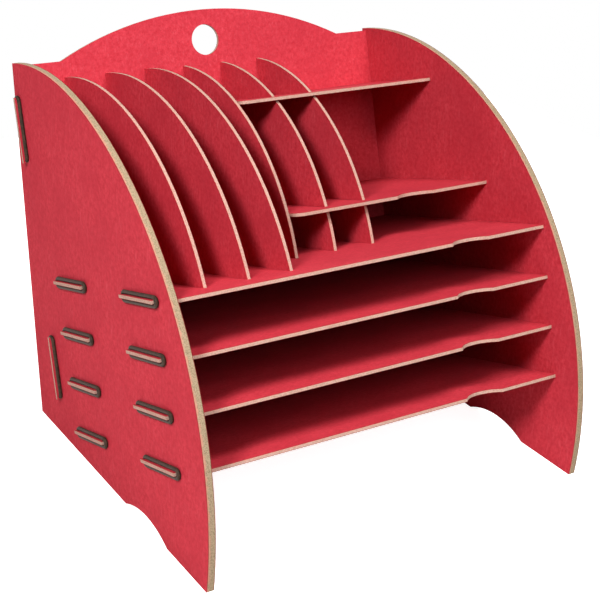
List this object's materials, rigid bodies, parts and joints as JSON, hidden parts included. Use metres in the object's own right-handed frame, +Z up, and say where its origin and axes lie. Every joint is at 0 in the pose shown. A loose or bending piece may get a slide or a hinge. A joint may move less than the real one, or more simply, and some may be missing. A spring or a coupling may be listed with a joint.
{
  "type": "desktop paper organizer",
  "caption": "Slot-together desk organizer of stained fibreboard: full-width paper trays below, upright dividers and short shelves above, tabs locked by rubber rings.",
  "frame": {"origin": "on the table, under the centre of the bounding box", "axes": "+X to the right seen from the front, -Y towards the user at the open front, +Z up"},
  "size_m": [0.338, 0.3279, 0.3099],
  "materials": {
    "thick_board": "fibreboard 6 mm, faces stained red, laser-cut edges bare",
    "thin_board": "fibreboard 3 mm, faces stained red, laser-cut edges bare",
    "rubber_ring": "matte dark brown-grey rubber"
  },
  "bodies": {
    "root": {"back_panel": "thin_board", "divider_1": "thin_board", "divider_2": "thin_board", "divider_3": "thin_board", "divider_4": "thin_board", "divider_5": "thin_board", "divider_6": "thin_board", "left_side_panel": "thick_board", "right_side_panel": "thick_board", "ring_back_1": "rubber_ring", "ring_back_2": "rubber_ring", "ring_back_3": "rubber_ring", "ring_back_4": "rubber_ring", "ring_back_5": "rubber_ring", "ring_back_6": "rubber_ring", "ring_left_back_high": "rubber_ring", "ring_left_back_low": "rubber_ring", "ring_left_c_front": "rubber_ring", "ring_left_c_rear": "rubber_ring", "ring_left_d_front": "rubber_ring", "ring_left_d_rear": "rubber_ring", "ring_left_e_front": "rubber_ring", "ring_left_e_rear": "rubber_ring", "ring_left_f_front": "rubber_ring", "ring_left_f_rear": "rubber_ring", "ring_right_a": "rubber_ring", "ring_right_b": "rubber_ring", "ring_right_back_high": "rubber_ring", "ring_right_back_low": "rubber_ring", "ring_right_c_front": "rubber_ring", "ring_right_c_rear": "rubber_ring", "ring_right_d_front": "rubber_ring", "ring_right_d_rear": "rubber_ring", "ring_right_e_front": "rubber_ring", "ring_right_e_rear": "rubber_ring", "ring_right_f_front": "rubber_ring", "ring_right_f_rear": "rubber_ring", "shelf_a": "thin_board", "shelf_b": "thin_board", "tray_c": "thin_board", "tray_d": "thin_board", "tray_e": "thin_board", "tray_f": "thin_board"}
  },
  "joints": []
}
